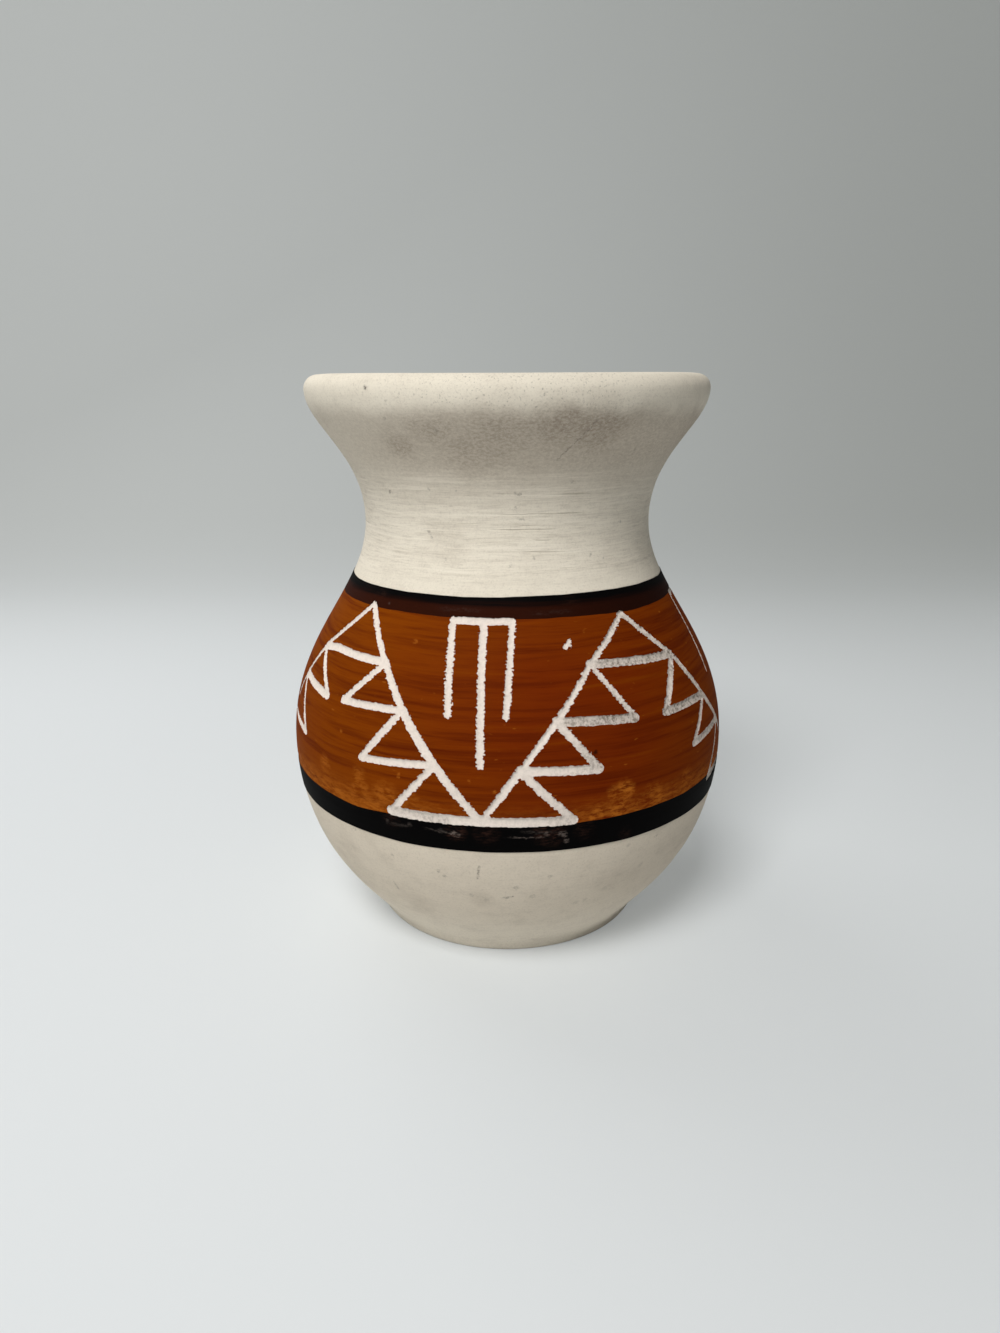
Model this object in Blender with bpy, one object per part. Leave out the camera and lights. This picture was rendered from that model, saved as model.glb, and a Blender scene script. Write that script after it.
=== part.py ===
# Turned earthenware vase: a fired clay body, three painted slip coats and a glaze lining.
# A line pattern is scratched into the broad coat. Metres, +Z up.
# The origin is the middle of the foot, and the first valley of the pattern faces near -Y.

import math

import bmesh
import bpy
from mathutils import Vector
from mathutils.geometry import interpolate_bezier

# Thrown form, outside
HEIGHT = 0.127
FOOT_RADIUS = 0.0330
FOOT_ROUND = 0.0012
BELLY_RADIUS = 0.0519
BELLY_HEIGHT = 0.0443
NECK_RADIUS = 0.0332
NECK_HEIGHT = 0.0958
LIP_RADIUS = 0.0455
LIP_WIDTH = 0.0076
LIP_OUTER_ROUND = 0.0030
LIP_INNER_ROUND = 0.0026

# Thrown form, inside
WALL = 0.0055
FLOOR = 0.0080
FLOOR_RADIUS = 0.0200

# How long each curve keeps its direction at an end, as a share of its rise or run
FOOT_SLOPE = math.radians(68)
FOOT_PULL = 0.145
FLOOR_PULL = 0.50
BELLY_PULL_BELOW = 0.62
BELLY_PULL_ABOVE = 0.47
NECK_PULL_BELOW = 0.32
NECK_PULL_ABOVE = 0.545
LIP_PULL = 0.28

# Coats: the painted ones are stacked upwards from the lowest edge
COATS_START = 0.0343
LOWER_STRIPE_WIDTH = 0.0060
BAND_WIDTH = 0.0392
UPPER_STRIPE_WIDTH = 0.0043
COAT_THICKNESS = 0.0006
LINING_THICKNESS = 0.0005
CLEARANCE = 0.0003

# Scratched pattern on the rust band
PATTERN_REPEATS = 4
PATTERN_TURN = math.radians(-5.3)
TOOTH_ROWS = 4
TOOTH_REACH = 0.0160
STROKE_WIDTH = 0.0016
ZIGZAG_DEPTH = 0.0003
STROKE_DEPTH = 0.00024
STROKE_MARGIN = 0.0014
COMB_WIDTH = 0.0122
COMB_SIDE_TINE = 0.0165
COMB_MIDDLE_TINE = 0.0260

# Fineness of the facets
SEGMENTS = 60
CURVE_STEPS = 6
FINE_CURVE_STEPS = 80
LIP_STEPS = 4
ROW_HEIGHT = 0.0050
STROKE_STEP = 0.0050
CUTTER_HEIGHT = 0.0012
SMALL_STEP = 0.0005
MERGE_DISTANCE = 0.000001
SHARP_ANGLE = math.radians(35)

band_start = COATS_START + LOWER_STRIPE_WIDTH
band_end = band_start + BAND_WIDTH
coats_end = band_end + UPPER_STRIPE_WIDTH
seat_depth = COAT_THICKNESS + CLEARANCE
outer_lip = (LIP_RADIUS, HEIGHT - LIP_OUTER_ROUND)
inner_lip = (LIP_RADIUS - LIP_WIDTH, HEIGHT - LIP_INNER_ROUND)


def curve(start, start_handle, end_handle, end, steps):
    """Points of a Bezier stretch in the (radius, height) plane, both ends included."""
    corners = [Vector((r, 0, z)) for r, z in (start, start_handle, end_handle, end)]
    return [(point.x, point.z) for point in interpolate_bezier(*corners, steps + 1)]


def upright_curve(start, end, start_pull, end_pull, steps):
    """A stretch of wall that is upright at both of its ends."""
    rise = end[1] - start[1]
    start_handle = (start[0], start[1] + start_pull * rise)
    end_handle = (end[0], end[1] - end_pull * rise)
    return curve(start, start_handle, end_handle, end, steps)


def quarter_round(centre, size, first_angle):
    """A quarter circle in the (radius, height) plane, turning anticlockwise."""
    angles = [first_angle + math.pi / 2 * i / LIP_STEPS for i in range(LIP_STEPS + 1)]
    return [(centre[0] + size * math.cos(a), centre[1] + size * math.sin(a)) for a in angles]


def upper_wall(belly_radius, neck_radius, lip, steps):
    """From the belly in over the shoulder, through the neck and out to the lip."""
    belly = (belly_radius, BELLY_HEIGHT)
    neck = (neck_radius, NECK_HEIGHT)
    shoulder = upright_curve(belly, neck, BELLY_PULL_ABOVE, NECK_PULL_BELOW, steps)
    flare = upright_curve(neck, lip, NECK_PULL_ABOVE, LIP_PULL, steps)
    return shoulder[1:] + flare[1:]


def outer_wall(steps):
    """The outside, from the foot's edge up to the widest part of the lip."""
    foot = (FOOT_RADIUS, FOOT_ROUND)
    belly = (BELLY_RADIUS, BELLY_HEIGHT)
    rise = BELLY_HEIGHT - FOOT_ROUND
    pull = FOOT_PULL * rise
    foot_handle = (foot[0] + pull * math.cos(FOOT_SLOPE), foot[1] + pull * math.sin(FOOT_SLOPE))
    belly_handle = (belly[0], belly[1] - BELLY_PULL_BELOW * rise)
    lower = curve(foot, foot_handle, belly_handle, belly, steps)
    return lower + upper_wall(BELLY_RADIUS, NECK_RADIUS, outer_lip, steps)


def inner_wall(steps):
    """The inside, from the middle of the floor up to the lip's inner edge."""
    floor = (FLOOR_RADIUS, FLOOR)
    belly = (BELLY_RADIUS - WALL, BELLY_HEIGHT)
    floor_handle = (floor[0] + FLOOR_PULL * (belly[0] - floor[0]), FLOOR)
    belly_handle = (belly[0], belly[1] - BELLY_PULL_BELOW * (belly[1] - FLOOR))
    lower = curve(floor, floor_handle, belly_handle, belly, steps)
    return [(0, FLOOR)] + lower + upper_wall(belly[0], NECK_RADIUS - WALL, inner_lip, steps)


fine_wall = outer_wall(FINE_CURVE_STEPS)


def radius_at(height):
    """Radius of the finished outside at a height between the foot's edge and the lip."""
    for (low_radius, low), (high_radius, high) in zip(fine_wall, fine_wall[1:]):
        if height <= high:
            share = (height - low) / (high - low)
            return low_radius + share * (high_radius - low_radius)
    return LIP_RADIUS


def rows(start, end):
    """Evenly spaced heights from start to end, no further apart than ROW_HEIGHT."""
    count = math.ceil((end - start) / ROW_HEIGHT)
    return [start + (end - start) * i / count for i in range(count + 1)]


def moved_in(wall, distance):
    """The inner wall moved into the hollow, with its points on the axis kept there."""
    moved = []
    for i, (radius, height) in enumerate(wall):
        before = wall[max(i - 1, 0)]
        after = wall[min(i + 1, len(wall) - 1)]
        along = Vector((after[0] - before[0], after[1] - before[1])).normalized()
        new_radius = radius - distance * along.y if radius else 0
        moved.append((new_radius, height + distance * along.x))
    return moved


def finish(name, colour, roughness):
    material = bpy.data.materials.new(name)
    material.use_nodes = True
    shader = material.node_tree.nodes["Principled BSDF"]
    shader.inputs["Base Color"].default_value = (*colour, 1)
    shader.inputs["Roughness"].default_value = roughness
    shader.inputs["Metallic"].default_value = 0
    return material


def turned(name, outline, material, parent, closed=False):
    """Spins an outline of (radius, height) points round Z into one closed body."""
    bm = bmesh.new()
    verts = [bm.verts.new((radius, 0, height)) for radius, height in outline]
    edges = [bm.edges.new(pair) for pair in zip(verts, verts[1:])]
    if closed:
        edges.append(bm.edges.new((verts[-1], verts[0])))
    profile = verts + edges
    bmesh.ops.spin(
        bm, geom=profile, axis=(0, 0, 1), angle=math.tau, steps=SEGMENTS, use_merge=True
    )
    bmesh.ops.remove_doubles(bm, verts=bm.verts, dist=MERGE_DISTANCE)
    bmesh.ops.recalc_face_normals(bm, faces=bm.faces)
    mesh = bpy.data.meshes.new(name)
    bm.to_mesh(mesh)
    bm.free()
    mesh.shade_smooth()
    mesh.set_sharp_from_angle(angle=SHARP_ANGLE)
    mesh.materials.append(material)
    piece = bpy.data.objects.new(name, mesh)
    piece.parent = parent
    bpy.context.scene.collection.objects.link(piece)
    return piece


def clay_body(parent):
    """The thrown pot, with a shallow seat round the outside that the coats fill."""
    seat_start = COATS_START - CLEARANCE
    seat_end = coats_end + CLEARANCE
    inner_centre = (inner_lip[0] + LIP_INNER_ROUND, inner_lip[1])
    outer_centre = (outer_lip[0] - LIP_OUTER_ROUND, outer_lip[1])
    outline = inner_wall(CURVE_STEPS)
    outline += quarter_round(inner_centre, LIP_INNER_ROUND, math.pi / 2)[-2::-1]
    outline += quarter_round(outer_centre, LIP_OUTER_ROUND, 0)[::-1]
    outline += [(radius_at(z), z) for z in rows(seat_end, outer_lip[1])[-2::-1]]
    outline += [(radius_at(z) - seat_depth, z) for z in rows(seat_start, seat_end)[::-1]]
    outline += [(radius_at(z), z) for z in rows(FOOT_ROUND, seat_start)[::-1]]
    outline += [(FOOT_RADIUS - FOOT_ROUND, 0), (0, 0)]
    return turned("clay_body", outline, finish("bare_clay", (0.72, 0.68, 0.60), 0.85), parent)


def glaze_lining(parent):
    """The glaze all over the inside, up to the lip's inner edge."""
    wall = inner_wall(CURVE_STEPS)
    hollow_side = moved_in(wall, CLEARANCE + LINING_THICKNESS)
    clay_side = moved_in(wall, CLEARANCE)
    outline = hollow_side + clay_side[::-1]
    return turned("glaze_lining", outline, finish("glaze", (0.66, 0.60, 0.50), 0.2), parent)


def slip_coat(name, start, end, material, parent):
    """A ring of slip between two heights, with its outside flush with the pot's."""
    heights = rows(start + CLEARANCE / 2, end - CLEARANCE / 2)
    outside = [(radius_at(z), z) for z in heights[::-1]]
    inside = [(radius_at(z) - COAT_THICKNESS, z) for z in heights]
    return turned(name, outside + inside, material, parent, closed=True)


def on_wall(angle, height):
    """A point of the outside and the normal there. Angle 0 faces -Y, and grows towards +X."""
    rise = radius_at(height + SMALL_STEP) - radius_at(height - SMALL_STEP)
    outwards = Vector((math.sin(angle), -math.cos(angle), 0))
    normal = (outwards - Vector((0, 0, rise / (2 * SMALL_STEP)))).normalized()
    return outwards * radius_at(height) + Vector((0, 0, height)), normal


def stepped(corners):
    """The (angle, height) corners of a stroke with steps between them, none over STROKE_STEP."""
    path = [corners[0]]
    for (angle, height), (next_angle, next_height) in zip(corners, corners[1:]):
        length = (on_wall(next_angle, next_height)[0] - on_wall(angle, height)[0]).length
        count = math.ceil(length / STROKE_STEP)
        for i in range(1, count + 1):
            turn = (next_angle - angle) * i / count
            climb = (next_height - height) * i / count
            path.append((angle + turn, height + climb))
    return path


def groove_ring(bm, before, here, after, normal, depth):
    """The four corners of a groove's section at a point of its path, mitred where it bends."""
    arrive = (here - before).normalized()
    leave = (after - here).normalized()
    along = (arrive + leave).normalized()
    side = along.cross(normal).normalized() * STROKE_WIDTH / 2 / along.dot(leave)
    floor = here - normal * depth
    top = floor + normal * CUTTER_HEIGHT
    return [bm.verts.new(p) for p in (floor - side, floor + side, top + side, top - side)]


def groove_cutter(name, corners, depth, cutters, all_round=False):
    """A bar along one stroke, sunk into the outside by depth. All round, it has no ends."""
    path = [on_wall(*spot) for spot in stepped(corners)]
    points = [point for point, normal in path]
    if all_round:
        path.pop()
        points = [points[-2]] + points
    else:
        points = [2 * points[0] - points[1]] + points + [2 * points[-1] - points[-2]]
    bm = bmesh.new()
    rings = []
    for i, (point, normal) in enumerate(path):
        rings.append(groove_ring(bm, points[i], point, points[i + 2], normal, depth))
    if all_round:
        rings.append(rings[0])
    else:
        bm.faces.new(rings[0])
        bm.faces.new(rings[-1])
    for ring, next_ring in zip(rings, rings[1:]):
        for k in range(len(ring)):
            bm.faces.new((ring[k], ring[k - 1], next_ring[k - 1], next_ring[k]))
    bmesh.ops.recalc_face_normals(bm, faces=bm.faces)
    mesh = bpy.data.meshes.new(name)
    bm.to_mesh(mesh)
    bm.free()
    cutter = bpy.data.objects.new(name, mesh)
    cutter.hide_render = True
    cutter.display_type = "WIRE"
    cutters.objects.link(cutter)


def repeat_strokes(heights, arm):
    """The strokes of one repeat but its zigzag, as corners, with the repeat's valley at angle 0."""
    reach = [TOOTH_REACH / radius_at(height) for height in heights]
    foot = arm[0] + reach[0]
    next_arm = 2 * arm[-1] - arm[-2]
    comb = COMB_WIDTH / 2 / radius_at(heights[-1])
    comb_foot = heights[-1] - COMB_SIDE_TINE
    base_line = [(-arm[1], heights[1]), (-foot, heights[0]), (foot, heights[0]), (arm[1], heights[1])]
    peak_bar = [(arm[-2], heights[-2]), (next_arm, heights[-2])]
    comb_sides = [(-comb, comb_foot), (-comb, heights[-1]), (comb, heights[-1]), (comb, comb_foot)]
    comb_middle = [(0, heights[-1]), (0, heights[-1] - COMB_MIDDLE_TINE)]
    strokes = [base_line, peak_bar, comb_sides, comb_middle]
    for side in (-1, 1):
        for row in range(1, TOOTH_ROWS - 1):
            root = (side * arm[row + 1], heights[row + 1])
            tip = (side * (arm[row] + reach[row]), heights[row])
            back = (side * arm[row], heights[row])
            strokes.append([root, tip, back])
    return strokes


def scratch_pattern(band):
    """Scratches the zigzag, and the strokes of every repeat, part of the way into the band."""
    cutters = bpy.data.collections.new("stroke_cutters")
    bpy.context.scene.collection.children.link(cutters)
    base = band_start + STROKE_MARGIN
    peak = band_end - STROKE_MARGIN
    half_repeat = math.pi / PATTERN_REPEATS
    heights = [base + (peak - base) * row / TOOTH_ROWS for row in range(TOOTH_ROWS + 1)]
    arm = [half_repeat * row / TOOTH_ROWS for row in range(TOOTH_ROWS + 1)]
    zigzag = []
    for turn in range(2 * PATTERN_REPEATS + 1):
        zigzag.append((PATTERN_TURN + half_repeat * turn, peak if turn % 2 else base))
    groove_cutter("zigzag", zigzag, ZIGZAG_DEPTH, cutters, all_round=True)
    for repeat in range(PATTERN_REPEATS):
        turn = PATTERN_TURN + 2 * half_repeat * repeat
        for i, stroke in enumerate(repeat_strokes(heights, arm)):
            corners = [(angle + turn, height) for angle, height in stroke]
            groove_cutter(f"stroke_{repeat + 1}_{i + 1}", corners, STROKE_DEPTH, cutters)
    cut = band.modifiers.new("scratched_pattern", "BOOLEAN")
    cut.operation = "DIFFERENCE"
    cut.operand_type = "COLLECTION"
    cut.collection = cutters
    cut.solver = "EXACT"


def main():
    for old in list(bpy.data.objects):
        bpy.data.objects.remove(old, do_unlink=True)
    vase = bpy.data.objects.new("vase", None)
    bpy.context.scene.collection.objects.link(vase)
    clay_body(vase)
    glaze_lining(vase)
    black_slip = finish("black_slip", (0.012, 0.011, 0.011), 0.5)
    dark_slip = finish("dark_slip", (0.020, 0.011, 0.009), 0.5)
    rust_slip = finish("rust_slip", (0.27, 0.075, 0.012), 0.6)
    slip_coat("lower_stripe", COATS_START, band_start, black_slip, vase)
    slip_coat("upper_stripe", band_end, coats_end, dark_slip, vase)
    band = slip_coat("rust_band", band_start, band_end, rust_slip, vase)
    scratch_pattern(band)


main()
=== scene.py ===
# Turned earthenware vase with scratched slip bands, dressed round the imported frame.
# Metres, +Z up. A turn is measured round the pot in degrees: 0 faces the camera, 90 is its right.

import math
import random
from functools import reduce

import bmesh
import bpy
import numpy as np
from mathutils import Matrix, Vector, noise
from mathutils.geometry import interpolate_bezier


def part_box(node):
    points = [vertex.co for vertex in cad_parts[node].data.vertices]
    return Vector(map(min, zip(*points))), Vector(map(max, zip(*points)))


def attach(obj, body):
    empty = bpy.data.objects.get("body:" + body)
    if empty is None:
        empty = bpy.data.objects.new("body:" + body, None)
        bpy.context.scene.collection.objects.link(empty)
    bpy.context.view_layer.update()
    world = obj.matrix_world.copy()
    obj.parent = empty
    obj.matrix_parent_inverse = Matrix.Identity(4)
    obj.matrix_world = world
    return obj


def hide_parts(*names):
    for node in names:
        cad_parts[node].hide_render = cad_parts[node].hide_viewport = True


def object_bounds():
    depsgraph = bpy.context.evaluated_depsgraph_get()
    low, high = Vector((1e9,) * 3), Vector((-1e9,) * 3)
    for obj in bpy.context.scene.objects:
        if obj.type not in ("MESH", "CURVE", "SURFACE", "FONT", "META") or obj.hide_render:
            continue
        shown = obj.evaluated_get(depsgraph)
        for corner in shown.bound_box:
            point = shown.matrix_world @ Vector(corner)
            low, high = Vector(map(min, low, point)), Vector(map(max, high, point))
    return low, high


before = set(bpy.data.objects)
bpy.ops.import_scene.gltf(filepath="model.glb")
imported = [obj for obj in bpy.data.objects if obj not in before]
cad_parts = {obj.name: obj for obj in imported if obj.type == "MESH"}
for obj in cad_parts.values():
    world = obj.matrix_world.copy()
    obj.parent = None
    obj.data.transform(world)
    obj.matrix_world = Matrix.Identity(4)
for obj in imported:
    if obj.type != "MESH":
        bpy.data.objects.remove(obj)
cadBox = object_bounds()
scene = bpy.context.scene
print("frame:", ", ".join(sorted(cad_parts)))


# The thrown form: every wall below is read off these curves

pot = {
    "height": cadBox[1].z,
    "footRadius": 0.033,
    "footRound": 0.0012,
    "footSlope": math.radians(68),
    "footPull": 0.145,
    "bellyRadius": 0.0519,
    "bellyHeight": 0.0443,
    "bellyPulls": (0.62, 0.47),  # below and above the belly
    "neckRadius": 0.0332,
    "neckHeight": 0.0958,
    "neckPulls": (0.32, 0.545),  # below and above the neck
    "lipRadius": 0.0455,
    "lipWidth": 0.0076,
    "lipRounds": (0.003, 0.0026),  # outside and inside
    "lipPull": 0.28,
    "wall": 0.0055,
    "floor": 0.008,
    "floorRadius": 0.02,
    "floorPull": 0.5,
    "columns": 240,
    "curvePoints": 80,
    "arcPoints": 12,
}


def curveLine(start, startHandle, endHandle, end):
    corners = [Vector((r, 0, z)) for r, z in (start, startHandle, endHandle, end)]
    return [(p.x, p.z) for p in interpolate_bezier(*corners, pot["curvePoints"])]


def uprightLine(start, end, startPull, endPull):  # upright at both ends
    rise = end[1] - start[1]
    startHandle = (start[0], start[1] + startPull * rise)
    endHandle = (end[0], end[1] - endPull * rise)
    return curveLine(start, startHandle, endHandle, end)


def roundLine(centre, size, firstAngle, lastAngle):
    angles = np.radians(np.linspace(firstAngle, lastAngle, pot["arcPoints"]))
    return [(centre[0] + size * math.cos(a), centre[1] + size * math.sin(a)) for a in angles]


def upperLine(bellyRadius, neckRadius, lip):
    belly = (bellyRadius, pot["bellyHeight"])
    neck = (neckRadius, pot["neckHeight"])
    shoulder = uprightLine(belly, neck, pot["bellyPulls"][1], pot["neckPulls"][0])
    return shoulder + uprightLine(neck, lip, pot["neckPulls"][1], pot["lipPull"])[1:]


def outsideLine():  # from the foot's edge to the widest part of the lip
    foot = (pot["footRadius"], pot["footRound"])
    belly = (pot["bellyRadius"], pot["bellyHeight"])
    rise = belly[1] - foot[1]
    pull = pot["footPull"] * rise
    slope = pot["footSlope"]
    footHandle = (foot[0] + pull * math.cos(slope), foot[1] + pull * math.sin(slope))
    bellyHandle = (belly[0], belly[1] - pot["bellyPulls"][0] * rise)
    lip = (pot["lipRadius"], pot["height"] - pot["lipRounds"][0])
    lower = curveLine(foot, footHandle, bellyHandle, belly)
    return lower + upperLine(belly[0], pot["neckRadius"], lip)[1:]


def insideLine():  # from the middle of the floor to the lip's inner edge
    floor = (pot["floorRadius"], pot["floor"])
    belly = (pot["bellyRadius"] - pot["wall"], pot["bellyHeight"])
    floorHandle = (floor[0] + pot["floorPull"] * (belly[0] - floor[0]), floor[1])
    bellyHandle = (belly[0], belly[1] - pot["bellyPulls"][0] * (belly[1] - floor[1]))
    lip = (pot["lipRadius"] - pot["lipWidth"], pot["height"] - pot["lipRounds"][1])
    lower = [(0, floor[1])] + curveLine(floor, floorHandle, bellyHandle, belly)
    return lower + upperLine(belly[0], pot["neckRadius"] - pot["wall"], lip)[1:]


def lengthsTo(points):  # along a line, from its start to each point
    return np.concatenate([[0], np.cumsum(np.hypot(*np.diff(points, axis=0).T))])


def evenly(line, step):  # the same line with points about a step apart
    points = np.array(line)
    along = lengthsTo(points)
    places = np.linspace(0, along[-1], max(2, round(along[-1] / step) + 1))
    return list(zip(np.interp(places, along, points[:, 0]), np.interp(places, along, points[:, 1])))


wallPoints = np.array(outsideLine())
wallRadius, wallHeight = wallPoints.T
wallLength = lengthsTo(wallPoints)


def radiusAt(height):
    return np.interp(height, wallHeight, wallRadius)


def lengthAt(height):  # along the wall, up from the foot
    return np.interp(height, wallHeight, wallLength)


def coordsOf(bm):
    return np.array([v.co for v in bm.verts])


def moveTo(bm, coords):
    for vert, place in zip(bm.verts, coords):
        vert.co = place


def polarOf(coords):
    return np.arctan2(coords[:, 0], -coords[:, 1]), np.hypot(coords[:, 0], coords[:, 1]), coords[:, 2]


def fromPolar(turn, radius, height):
    return np.stack([radius * np.sin(turn), -radius * np.cos(turn), height], axis=1)


def apart(turn, middle):  # the angle from a middle, the short way round
    return (turn - middle + math.pi) % math.tau - math.pi


def noiseAt(points, size, scale):  # smooth noise up to a size, with a scale for each axis
    return size * np.array([noise.noise(p) for p in (points * np.array(scale)).tolist()])


def smoothStep(value, low, high):
    share = np.clip((value - low) / (high - low), 0, 1)
    return share * share * (3 - 2 * share)


# Painted stripes: each edge is brushed on a turning pot, so it wavers a little

stripes = {
    "edges": (
        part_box("lower_stripe")[0].z,
        (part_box("lower_stripe")[1].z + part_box("rust_band")[0].z) / 2,
        (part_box("rust_band")[1].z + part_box("upper_stripe")[0].z) / 2,
        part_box("upper_stripe")[1].z,
    ),
    "waver": (0.00016, 0.0003, 0.00022, 0.00014),
    "lobes": (2, 3, 5, 8, 13, 21, 34, 55),
    "lobeFall": 0.6,  # more lobes stray less, by this power
    "laps": ((-19.0, 17, 0.0004), (6.0, 16, 0.00018)),  # black brushed higher: turn, reach, rise
    "lapCore": 0.6,  # share of the reach that rises fully
    "fade": 0.006,  # rows further than this from the stripes don't move
    "seed": 11,
}
lowerBottom, lowerTop, upperBottom, upperTop = stripes["edges"]


def edgeWaver(turn):  # how far each of the four edges strays at a turn in radians
    dice = random.Random(stripes["seed"])
    strays = []
    for size in stripes["waver"]:
        stray = np.zeros_like(turn)
        for lobes in stripes["lobes"]:
            wave = np.sin(lobes * turn + dice.uniform(0, math.tau))
            stray += wave * dice.uniform(0.5, 1) / lobes ** stripes["lobeFall"]
        strays.append(stray * size)
    for middle, reach, rise in stripes["laps"]:
        away = np.abs(apart(turn, math.radians(middle)))
        core = math.radians(stripes["lapCore"] * reach)
        strays[1] = strays[1] + rise * (1 - smoothStep(away, core, math.radians(reach)))
    return strays


def waverRows(turn, height):  # moves the rows of the wall so that they follow the edges
    stops = [lowerBottom - stripes["fade"], *stripes["edges"], upperTop + stripes["fade"]]
    levels = np.stack([np.zeros_like(turn), *edgeWaver(turn), np.zeros_like(turn)])
    slot = np.clip(np.searchsorted(stops, height) - 1, 0, len(stops) - 2)
    low = np.array(stops)[slot]
    share = np.clip((height - low) / (np.array(stops)[slot + 1] - low), 0, 1)
    columns = np.arange(len(turn))
    return height + levels[slot, columns] * (1 - share) + levels[slot + 1, columns] * share


# Scratched pattern: an arm climbs from a valley to a peak, with three teeth hung under it.
# climb, fall and level are the widths of an arm's runs, counted from the bottom.

frontLeftArm = {
    "valley": (-6.6, 0.0416),
    "peak": (-47.6, 0.0799),
    "rows": ((-16.8, 0.0524), (-26.1, 0.062), (-34.5, 0.07)),
    "tips": ((-27.5, 0.0414), (-36.2, 0.0512), (-45.7, 0.0612)),
    "climb": (0.00185, 0.00195, 0.0017, 0.00145),
    "fall": (0.0015, 0.0016, 0.0016),
    "level": (0.00165, 0.0016),
}
frontRightArm = {
    "valley": (-5.4, 0.0424),
    "peak": (37, 0.0791),
    "rows": ((2.4, 0.052), (11.1, 0.061), (21.9, 0.0707)),
    "tips": ((14.3, 0.0411), (20.5, 0.0512), (31.7, 0.0598)),
    "climb": (0.0016, 0.00135, 0.00138, 0.0013),
    "fall": (0.00175, 0.00172, 0.0013),
    "level": (0.00195, 0.00192),
}
sideLeftArm = {
    "valley": (-94.4, 0.0415),
    "peak": (-48.2, 0.08),
    "rows": ((-79.5, 0.0522), (-72.3, 0.0619), (-65.3, 0.0692)),
    "tips": ((-73, 0.0405), (-61.9, 0.0506), (-53, 0.0607)),
    "climb": (0.0016, 0.0016, 0.0015, 0.00135),
    "fall": (0.0016, 0.0016, 0.00165),
    "level": (0.0017, 0.0019),
}
sideRightArm = {
    "valley": (79.3, 0.0415),
    "peak": (37.3, 0.0789),
    "rows": ((69.2, 0.0517), (61, 0.0592), (51.6, 0.0694)),
    "tips": ((61, 0.0398), (51.2, 0.0505), (41.6, 0.0593)),
    "climb": (0.00165, 0.0016, 0.00163, 0.00147),
    "fall": (0.0017, 0.00162, 0.00195),
    "level": (0.00178, 0.00184),
}
pattern = {
    "backValley": 172.5,
    "backPeaks": (126.0, 219.5),
    "baseHeight": 0.0414,
    "baseWidth": 0.00218,
    "barWidth": 0.00184,
    "barSag": (-56.9, 0.0701),  # a point of the left bar
    "combs": ((-7.0, 0.0), (84.1, -4.8), (172.0, 1.5), (264.8, -1.0)),  # turn, swing of the feet
    "combTop": 0.0791,
    "combBar": (-9.6, 8.1),
    "combBarWidth": 0.0016,
    "combTines": (  # turn of the top and of the foot, the foot's height, width
        (-9.6, -7.5, 0.0622, 0.0016), (-0.2, 0.6, 0.053, 0.0016), (8.1, 6.3, 0.0621, 0.00141),
    ),
    "handTurn": 0.7,  # how far the unseen strokes stray
    "handHeight": 0.0004,
    "seed": 5,
}
chips = (  # a spot where the slip has come off, as runs
    ((15.6, 0.0742), (16.1, 0.0743), 0.0011),
    ((16.1, 0.0743), (17.3, 0.0751), 0.0009),
    ((17.2, 0.075), (17.3, 0.074), 0.0006),
)


def movedArm(arm, valley, peak, dice):  # the same arm drawn again between another valley and peak
    first, last = arm["valley"][0], arm["peak"][0]

    def moved(point):
        turn = valley + (point[0] - first) / (last - first) * (peak - valley)
        stray = dice.uniform(-1, 1) * pattern["handTurn"]
        lift = dice.uniform(-1, 1) * pattern["handHeight"]
        return turn + stray, point[1] + lift

    again = dict(arm, valley=(valley, arm["valley"][1]), peak=(peak, arm["peak"][1]))
    again["rows"] = [moved(p) for p in arm["rows"]]
    again["tips"] = [moved(p) for p in arm["tips"]]
    return again


def armRuns(arm):
    corners = [arm["valley"], *arm["rows"], arm["peak"]]
    runs = list(zip(corners, corners[1:], arm["climb"]))
    runs += zip(arm["rows"], arm["tips"], arm["fall"])
    runs += zip(arm["tips"][1:], arm["rows"], arm["level"])
    return runs


def baseRuns(leftTip, rightTip):
    middle = ((leftTip[0] + rightTip[0]) / 2, pattern["baseHeight"])
    return [(leftTip, middle, pattern["baseWidth"]), (middle, rightTip, pattern["baseWidth"])]


def combRuns(turn, swing):
    top = pattern["combTop"]
    left, right = [(turn + side, top) for side in pattern["combBar"]]
    runs = [(left, right, pattern["combBarWidth"])]
    for head, foot, height, width in pattern["combTines"]:
        runs.append(((turn + head, top), (turn + foot + swing, height), width))
    return runs


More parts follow.
